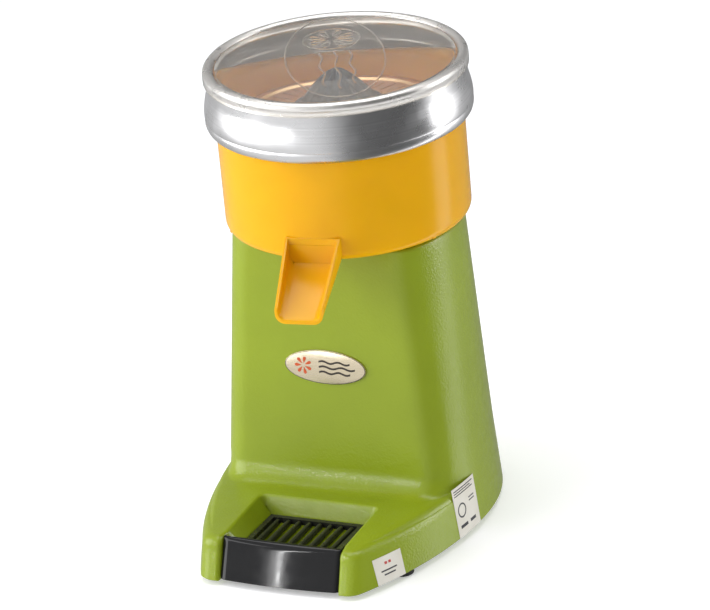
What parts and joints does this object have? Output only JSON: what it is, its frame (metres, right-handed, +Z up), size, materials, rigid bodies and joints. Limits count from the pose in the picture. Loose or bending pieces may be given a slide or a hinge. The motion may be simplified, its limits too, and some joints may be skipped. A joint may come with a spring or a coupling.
{
  "type": "citrus press juicer",
  "caption": "Bench-top citrus juicer: painted cast housing with drip tray, removable bowl with spout, strainer, ribbed reamer, splash ring and clear lid over an upright motor.",
  "frame": {"origin": "on the floor plane, at the middle of the footprint's width and depth", "axes": "+Z up along the motor shaft, the spout and drip tray face -Y, +X is the operator's right"},
  "size_m": [0.1999, 0.286, 0.3499],
  "materials": {
    "housing_paint": "gloss textured",
    "bowl_plastic": "gloss",
    "black_gloss": "gloss",
    "black_plastic": "satin",
    "black_rubber": "matte",
    "spun_aluminium": "polished",
    "clear_plastic": "clear",
    "stainless": "satin",
    "zinc_steel": "satin",
    "reamer_plastic": "satin",
    "badge_metal": "brushed",
    "label_paper": "matte",
    "cast_aluminium": "cast",
    "core_steel": "laminated",
    "copper_winding": "varnished",
    "switch_red": "gloss",
    "white_plastic": "matte",
    "brass": "satin",
    "seal_rubber": "matte"
  },
  "bodies": {
    "base": {"housing": "housing_paint", "base_plate": "zinc_steel", "base_screws": "zinc_steel", "feet": "black_rubber", "foot_screws": "zinc_steel", "badge": "badge_metal", "rating_label": "label_paper", "front_label": "label_paper", "shaft_tower": "cast_aluminium", "shaft_seal": "seal_rubber", "upper_bearing": "zinc_steel", "lower_bearing": "zinc_steel", "upper_bracket": "cast_aluminium", "lower_bracket": "cast_aluminium", "stator_core": "core_steel", "stator_windings": "copper_winding", "motor_bolts": "zinc_steel", "motor_screws": "zinc_steel", "switch_bezel": "black_plastic", "capacitor": "white_plastic", "capacitor_strap": "zinc_steel", "strap_screws": "zinc_steel", "terminal_block": "white_plastic", "earth_screw": "brass", "cable_gland": "black_plastic", "gland_nut": "black_plastic"},
    "motor": {"motor_shaft": "stainless", "rotor": "core_steel", "cooling_fan": "black_plastic", "shaft_slinger": "black_rubber", "drive_pin": "stainless"},
    "bowl": {"bowl": "bowl_plastic"},
    "strainer": {"strainer": "stainless"},
    "reamer": {"reamer": "reamer_plastic"},
    "ring": {"splash_ring": "spun_aluminium"},
    "lid": {"lid": "clear_plastic", "lid_rim": "clear_plastic"},
    "tray": {"drip_tray": "black_gloss"},
    "grid": {"drip_grid": "black_plastic"},
    "rocker": {"switch_rocker": "switch_red"}
  },
  "joints": [
    {"name": "motor_spin", "type": "hinge", "parent": "base", "child": "motor", "pos_m": [0, 0.029, 0.1], "axis": [0, 0, 1], "continuous": true},
    {"name": "bowl_lift", "type": "slide", "parent": "base", "child": "bowl", "axis": [0, 0, 1], "range_m": [0, 0.09]},
    {"name": "strainer_lift", "type": "slide", "parent": "bowl", "child": "strainer", "axis": [0, 0, 1], "range_m": [0, 0.005]},
    {"name": "reamer_spin", "type": "hinge", "parent": "strainer", "child": "reamer", "pos_m": [0, 0.029, 0.3], "axis": [0, 0, 1], "continuous": true},
    {"name": "ring_lift", "type": "slide", "parent": "bowl", "child": "ring", "axis": [0, 0, 1], "range_m": [0, 0.06]},
    {"name": "lid_lift", "type": "slide", "parent": "ring", "child": "lid", "axis": [0, 0, 1], "range_m": [0, 0.04]},
    {"name": "tray_slide", "type": "slide", "parent": "base", "child": "tray", "axis": [0, -1, 0], "range_m": [0, 0.085]},
    {"name": "grid_lift", "type": "slide", "parent": "tray", "child": "grid", "axis": [0, 0, 1], "range_m": [0, 0.025]},
    {"name": "switch_rock", "type": "hinge", "parent": "base", "child": "rocker", "pos_m": [0, 0.12097, 0.084], "axis": [-1, 0, 0], "range_deg": [0, 24]}
  ],
  "couplings": [
    {"joint": "reamer_spin", "follows": "motor_spin", "ratio": 1}
  ]
}
